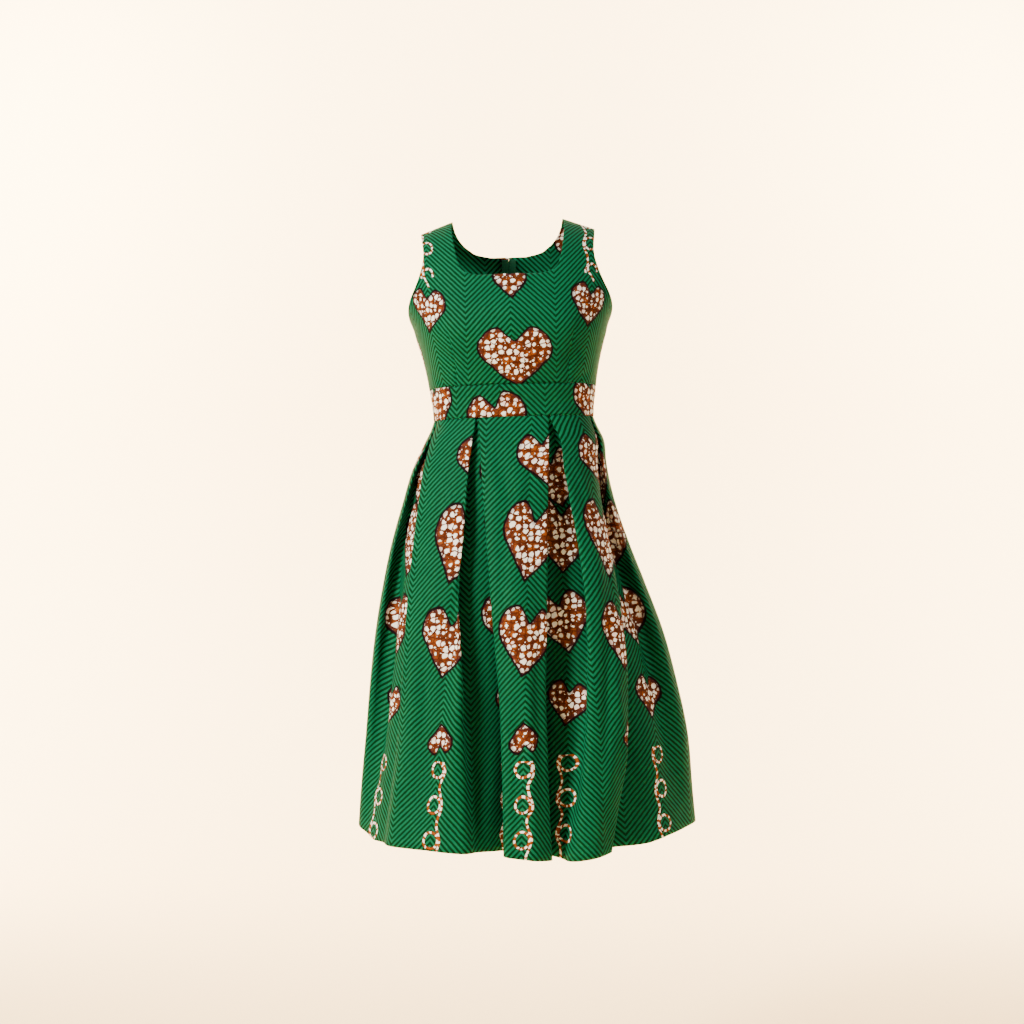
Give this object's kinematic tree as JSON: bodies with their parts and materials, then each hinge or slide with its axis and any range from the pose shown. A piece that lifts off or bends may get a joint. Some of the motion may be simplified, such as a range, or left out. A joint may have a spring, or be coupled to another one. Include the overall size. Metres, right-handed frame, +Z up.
{
  "type": "sleeveless pleated dress",
  "caption": "Sleeveless knee-length dress of wax-printed cotton with a scooped neck, a waistband and a skirt in deep inverted box pleats, hollow as worn.",
  "frame": {"origin": "midway between the two shoulder seams, where the wearer's shoulders carry the dress", "axes": "+Z up, the front of the dress faces -Y, the wearer's left is +X"},
  "size_m": [0.5219, 0.4076, 0.9627],
  "materials": {
    "wax_print_cotton": "printed",
    "zip_tape": "woven",
    "zip_enamel": "satin"
  },
  "bodies": {
    "dress": {"bodice_front": "wax_print_cotton", "bodice_back_left": "wax_print_cotton", "bodice_back_right": "wax_print_cotton", "waistband_front": "wax_print_cotton", "waistband_back_left": "wax_print_cotton", "waistband_back_right": "wax_print_cotton", "skirt_front": "wax_print_cotton", "skirt_back_left": "wax_print_cotton", "skirt_back_right": "wax_print_cotton", "zip_tape_left": "zip_tape", "zip_tape_right": "zip_tape", "zip_slider": "zip_enamel"},
    "zip_pull": {"zip_pull": "zip_enamel"}
  },
  "joints": [
    {"name": "zip_pull_hinge", "type": "hinge", "parent": "dress", "child": "zip_pull", "pos_m": [0.00173, 0.07217, -0.05501], "axis": [0.9995, 0, 0.0314], "range_deg": [0, 140]}
  ]
}
